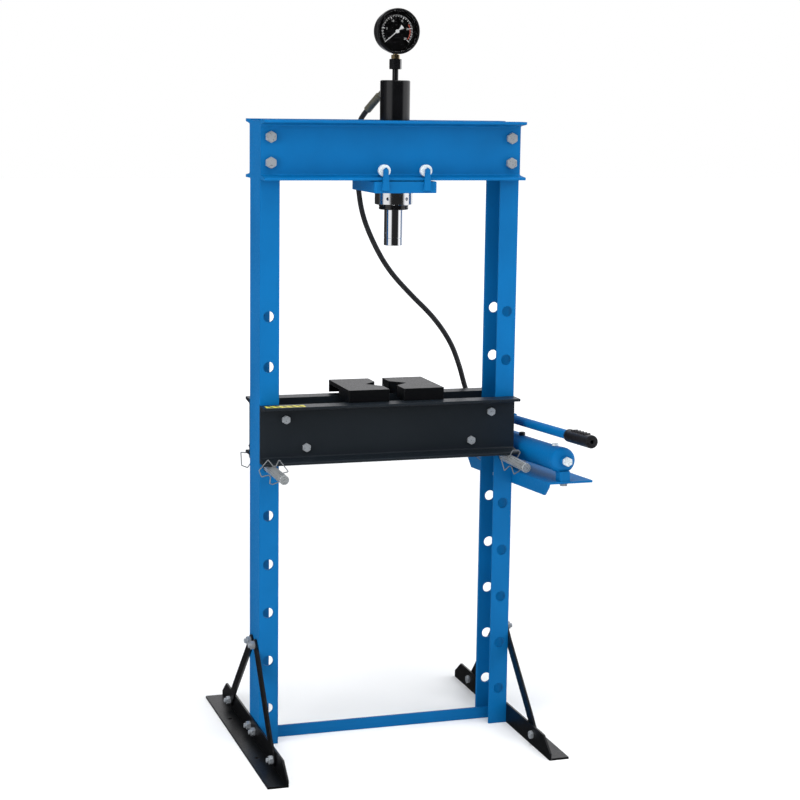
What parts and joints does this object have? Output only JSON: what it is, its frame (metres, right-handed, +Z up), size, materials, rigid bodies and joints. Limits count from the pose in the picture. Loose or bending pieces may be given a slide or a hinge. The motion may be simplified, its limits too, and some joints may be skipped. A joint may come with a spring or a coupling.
{
  "type": "hydraulic shop press",
  "caption": "Floor-standing hydraulic shop press: pinned height-adjustable bed, rolling ram head with pressure gauge, and a side-mounted hand pump joined to it by a hose",
  "frame": {"origin": "On the floor, midway between the uprights, in the plane of their centres; the centre of the four floor-anchor holes", "axes": "+X to the operator's right, +Y away from the operator, +Z up"},
  "size_m": [0.817, 0.7809, 1.7885],
  "materials": {
    "blue_powder_coat": "satin blue powder coat",
    "charcoal_paint": "satin charcoal paint",
    "black_paint": "satin black paint",
    "gloss_black_paint": "gloss black paint",
    "zinc_steel": "bright zinc-plated steel",
    "chrome": "polished chrome and ground steel",
    "passivated_fitting": "yellow-passivated steel",
    "brass": "plain brass",
    "black_rubber": "black rubber",
    "black_plastic": "black plastic",
    "dial": "matt black dial",
    "needle": "white painted pointer",
    "glass": "clear flat lens"
  },
  "bodies": {
    "frame": {"left_upright": "blue_powder_coat", "right_upright": "blue_powder_coat", "top_beam_front": "blue_powder_coat", "top_beam_rear": "blue_powder_coat", "frame_bolts": "zinc_steel", "frame_nuts": "zinc_steel", "lower_crossbar": "blue_powder_coat", "left_foot": "black_paint", "right_foot": "black_paint", "foot_braces": "black_paint", "pump_bracket": "blue_powder_coat", "reservoir": "blue_powder_coat", "reservoir_end_cap": "blue_powder_coat", "end_cap_plug": "zinc_steel", "filler_plug": "zinc_steel", "breather_cap": "black_plastic", "pump_head": "blue_powder_coat", "lower_hose_fitting": "passivated_fitting", "hose": "black_rubber"},
    "bed": {"bed_channel_front": "charcoal_paint", "bed_channel_rear": "charcoal_paint", "bed_spacers": "charcoal_paint", "bed_bolts": "zinc_steel", "bed_nuts": "zinc_steel"},
    "left_plate": {"left_arbor_plate": "black_paint"},
    "right_plate": {"right_arbor_plate": "black_paint"},
    "left_pin": {"left_bed_pin": "zinc_steel", "left_pin_clips": "zinc_steel"},
    "right_pin": {"right_bed_pin": "zinc_steel", "right_pin_clips": "zinc_steel"},
    "head": {"head_bracket": "blue_powder_coat", "roller_axles": "zinc_steel", "ram_cylinder": "gloss_black_paint", "ring_nut": "chrome", "gland_nut": "gloss_black_paint", "rod_seal": "black_rubber", "return_spring": "zinc_steel", "gauge_pipe": "gloss_black_paint", "gauge_coupling": "gloss_black_paint", "gauge_stem": "brass", "gauge_case": "black_plastic", "gauge_bezel": "black_plastic", "gauge_lens": "glass", "gauge_dial": "dial", "gauge_movement": "brass", "bourdon_tube": "brass", "upper_hose_fitting": "passivated_fitting"},
    "left_roller_pair": {"left_rollers": "zinc_steel"},
    "right_roller_pair": {"right_rollers": "zinc_steel"},
    "ram_rod": {"ram": "chrome", "ram_nose": "chrome", "piston": "zinc_steel", "piston_seal": "black_rubber"},
    "needle": {"gauge_needle": "needle"},
    "handle": {"lever_socket": "blue_powder_coat", "lever_pins": "zinc_steel", "handle_tube": "blue_powder_coat", "handle_grip": "black_rubber"},
    "plunger": {"pump_plunger": "chrome"},
    "valve": {"release_valve": "zinc_steel"}
  },
  "joints": [
    {"name": "head_slide", "type": "slide", "parent": "frame", "child": "head", "axis": [1, 0, 0], "range_m": [-0.21, 0.165], "deforming": ["hose"]},
    {"name": "left_rollers_turn", "type": "hinge", "parent": "head", "child": "left_roller_pair", "pos_m": [-0.0318, 0, 1.40694], "axis": [0, 1, 0], "continuous": true},
    {"name": "right_rollers_turn", "type": "hinge", "parent": "head", "child": "right_roller_pair", "pos_m": [0.0722, 0, 1.40694], "axis": [0, 1, 0], "continuous": true},
    {"name": "ram_slide", "type": "slide", "parent": "head", "child": "ram_rod", "axis": [0, 0, -1], "range_m": [0, 0.15], "stiffness_N_per_m": 400, "springref_m": -0.15, "deforming": ["return_spring"]},
    {"name": "needle_turn", "type": "hinge", "parent": "head", "child": "needle", "pos_m": [0.0202, -0.015, 1.7345], "axis": [0, 1, 0], "range_deg": [0, 260]},
    {"name": "bed_lift", "type": "slide", "parent": "frame", "child": "bed", "axis": [0, 0, 1], "range_m": [0, 0.121]},
    {"name": "left_plate_slide", "type": "slide", "parent": "bed", "child": "left_plate", "axis": [1, 0, 0], "range_m": [-0.12, 0.015]},
    {"name": "right_plate_slide", "type": "slide", "parent": "bed", "child": "right_plate", "axis": [1, 0, 0], "range_m": [-0.015, 0.12]},
    {"name": "left_pin_slide", "type": "slide", "parent": "frame", "child": "left_pin", "axis": [0, 1, 0], "range_m": [-0.003, 0.01]},
    {"name": "right_pin_slide", "type": "slide", "parent": "frame", "child": "right_pin", "axis": [0, 1, 0], "range_m": [-0.003, 0.01]},
    {"name": "handle_swing", "type": "hinge", "parent": "frame", "child": "handle", "pos_m": [0.371, 0.14673, 0.76294], "axis": [-1, 0, 0], "range_deg": [0, 40]},
    {"name": "plunger_stroke", "type": "slide", "parent": "frame", "child": "plunger", "axis": [0, 0.061, 0.9981], "range_m": [0, 0.0226]},
    {"name": "release_valve_turn", "type": "hinge", "parent": "frame", "child": "valve", "pos_m": [0.415, 0.08144, 0.67827], "axis": [-1, 0, 0], "range_deg": [0, 270]}
  ],
  "couplings": [
    {"joint": "left_rollers_turn", "follows": "head_slide", "rad_per_m": 69.93},
    {"joint": "right_rollers_turn", "follows": "head_slide", "rad_per_m": 69.93},
    {"joint": "plunger_stroke", "follows": "handle_swing", "m_per_rad": 0.0322}
  ]
}
